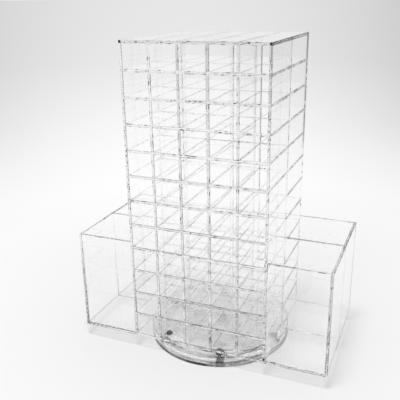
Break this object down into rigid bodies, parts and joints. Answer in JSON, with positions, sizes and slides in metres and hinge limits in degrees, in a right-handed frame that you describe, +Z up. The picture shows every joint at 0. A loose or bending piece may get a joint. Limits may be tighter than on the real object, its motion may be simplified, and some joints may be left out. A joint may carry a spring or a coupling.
{
  "type": "rotating cosmetics organizer",
  "caption": "Clear tower of small open compartments on front and back, with an open divided box on each side, on a round ball-bearing turntable.",
  "frame": {"origin": "on the table, under the turntable's pivot", "axes": "+Z up along the pivot, +Y towards the back, +X to the right seen from the front; the two boxes stand out along X"},
  "size_m": [0.278, 0.159, 0.3345],
  "materials": {
    "clear_sheet": "clear cast acrylic with polished edges",
    "clear_disc": "clear cast acrylic, turned and polished edge",
    "clear_cage": "clear acrylic",
    "clear_pad": "clear soft pad",
    "ball_steel": "polished bearing steel",
    "bolt_steel": "plain steel",
    "bearing_plastic": "white nylon"
  },
  "bodies": {
    "base": {"base_disc": "clear_disc", "foot_pads": "clear_pad", "pivot_bolt": "bolt_steel", "pivot_nut": "bolt_steel", "pivot_washer": "bolt_steel", "pivot_spacer": "bearing_plastic"},
    "tower": {"turntable_disc": "clear_disc", "pivot_bushing": "bearing_plastic", "tower_floor": "clear_sheet", "tower_top": "clear_sheet", "left_wall": "clear_sheet", "right_wall": "clear_sheet", "centre_panel": "clear_sheet", "front_divider_1": "clear_sheet", "front_divider_2": "clear_sheet", "front_divider_3": "clear_sheet", "front_divider_4": "clear_sheet", "front_shelf_1": "clear_sheet", "front_shelf_2": "clear_sheet", "front_shelf_3": "clear_sheet", "front_shelf_4": "clear_sheet", "front_shelf_5": "clear_sheet", "front_shelf_6": "clear_sheet", "front_shelf_7": "clear_sheet", "front_shelf_8": "clear_sheet", "front_shelf_9": "clear_sheet", "front_shelf_10": "clear_sheet", "front_shelf_11": "clear_sheet", "back_divider_1": "clear_sheet", "back_divider_2": "clear_sheet", "back_divider_3": "clear_sheet", "back_divider_4": "clear_sheet", "back_shelf_1": "clear_sheet", "back_shelf_2": "clear_sheet", "back_shelf_3": "clear_sheet", "back_shelf_4": "clear_sheet", "back_shelf_5": "clear_sheet", "back_shelf_6": "clear_sheet", "back_shelf_7": "clear_sheet", "back_shelf_8": "clear_sheet", "back_shelf_9": "clear_sheet", "back_shelf_10": "clear_sheet", "back_shelf_11": "clear_sheet", "left_box_floor": "clear_sheet", "left_box_side": "clear_sheet", "left_box_front": "clear_sheet", "left_box_back": "clear_sheet", "left_box_divider": "clear_sheet", "right_box_floor": "clear_sheet", "right_box_side": "clear_sheet", "right_box_front": "clear_sheet", "right_box_back": "clear_sheet", "right_box_divider": "clear_sheet"},
    "cage": {"ball_cage": "clear_cage"},
    "rolling_ball_1": {"ball_1": "ball_steel"},
    "rolling_ball_2": {"ball_2": "ball_steel"},
    "rolling_ball_3": {"ball_3": "ball_steel"},
    "rolling_ball_4": {"ball_4": "ball_steel"},
    "rolling_ball_5": {"ball_5": "ball_steel"},
    "rolling_ball_6": {"ball_6": "ball_steel"}
  },
  "joints": [
    {"name": "turntable_spin", "type": "hinge", "parent": "base", "child": "tower", "pos_m": [0, 0, 0.0145], "axis": [0, 0, 1], "continuous": true},
    {"name": "cage_orbit", "type": "hinge", "parent": "base", "child": "cage", "pos_m": [0, 0, 0.00775], "axis": [0, 0, 1], "continuous": true},
    {"name": "ball_1_roll", "type": "hinge", "parent": "cage", "child": "rolling_ball_1", "pos_m": [0.02292, -0.06296, 0.00775], "axis": [0.342, -0.9397, 0], "continuous": true},
    {"name": "ball_2_roll", "type": "hinge", "parent": "cage", "child": "rolling_ball_2", "pos_m": [0.06598, -0.01163, 0.00775], "axis": [0.9848, -0.1736, 0], "continuous": true},
    {"name": "ball_3_roll", "type": "hinge", "parent": "cage", "child": "rolling_ball_3", "pos_m": [0.04307, 0.05132, 0.00775], "axis": [0.6428, 0.766, 0], "continuous": true},
    {"name": "ball_4_roll", "type": "hinge", "parent": "cage", "child": "rolling_ball_4", "pos_m": [-0.02292, 0.06296, 0.00775], "axis": [-0.342, 0.9397, 0], "continuous": true},
    {"name": "ball_5_roll", "type": "hinge", "parent": "cage", "child": "rolling_ball_5", "pos_m": [-0.06598, 0.01163, 0.00775], "axis": [-0.9848, 0.1736, 0], "continuous": true},
    {"name": "ball_6_roll", "type": "hinge", "parent": "cage", "child": "rolling_ball_6", "pos_m": [-0.04307, -0.05132, 0.00775], "axis": [-0.6428, -0.766, 0], "continuous": true}
  ],
  "couplings": [
    {"joint": "cage_orbit", "follows": "turntable_spin", "ratio": 0.5},
    {"joint": "ball_1_roll", "follows": "turntable_spin", "ratio": -7.0341},
    {"joint": "ball_2_roll", "follows": "turntable_spin", "ratio": -7.0341},
    {"joint": "ball_3_roll", "follows": "turntable_spin", "ratio": -7.0341},
    {"joint": "ball_4_roll", "follows": "turntable_spin", "ratio": -7.0341},
    {"joint": "ball_5_roll", "follows": "turntable_spin", "ratio": -7.0341},
    {"joint": "ball_6_roll", "follows": "turntable_spin", "ratio": -7.0341}
  ]
}
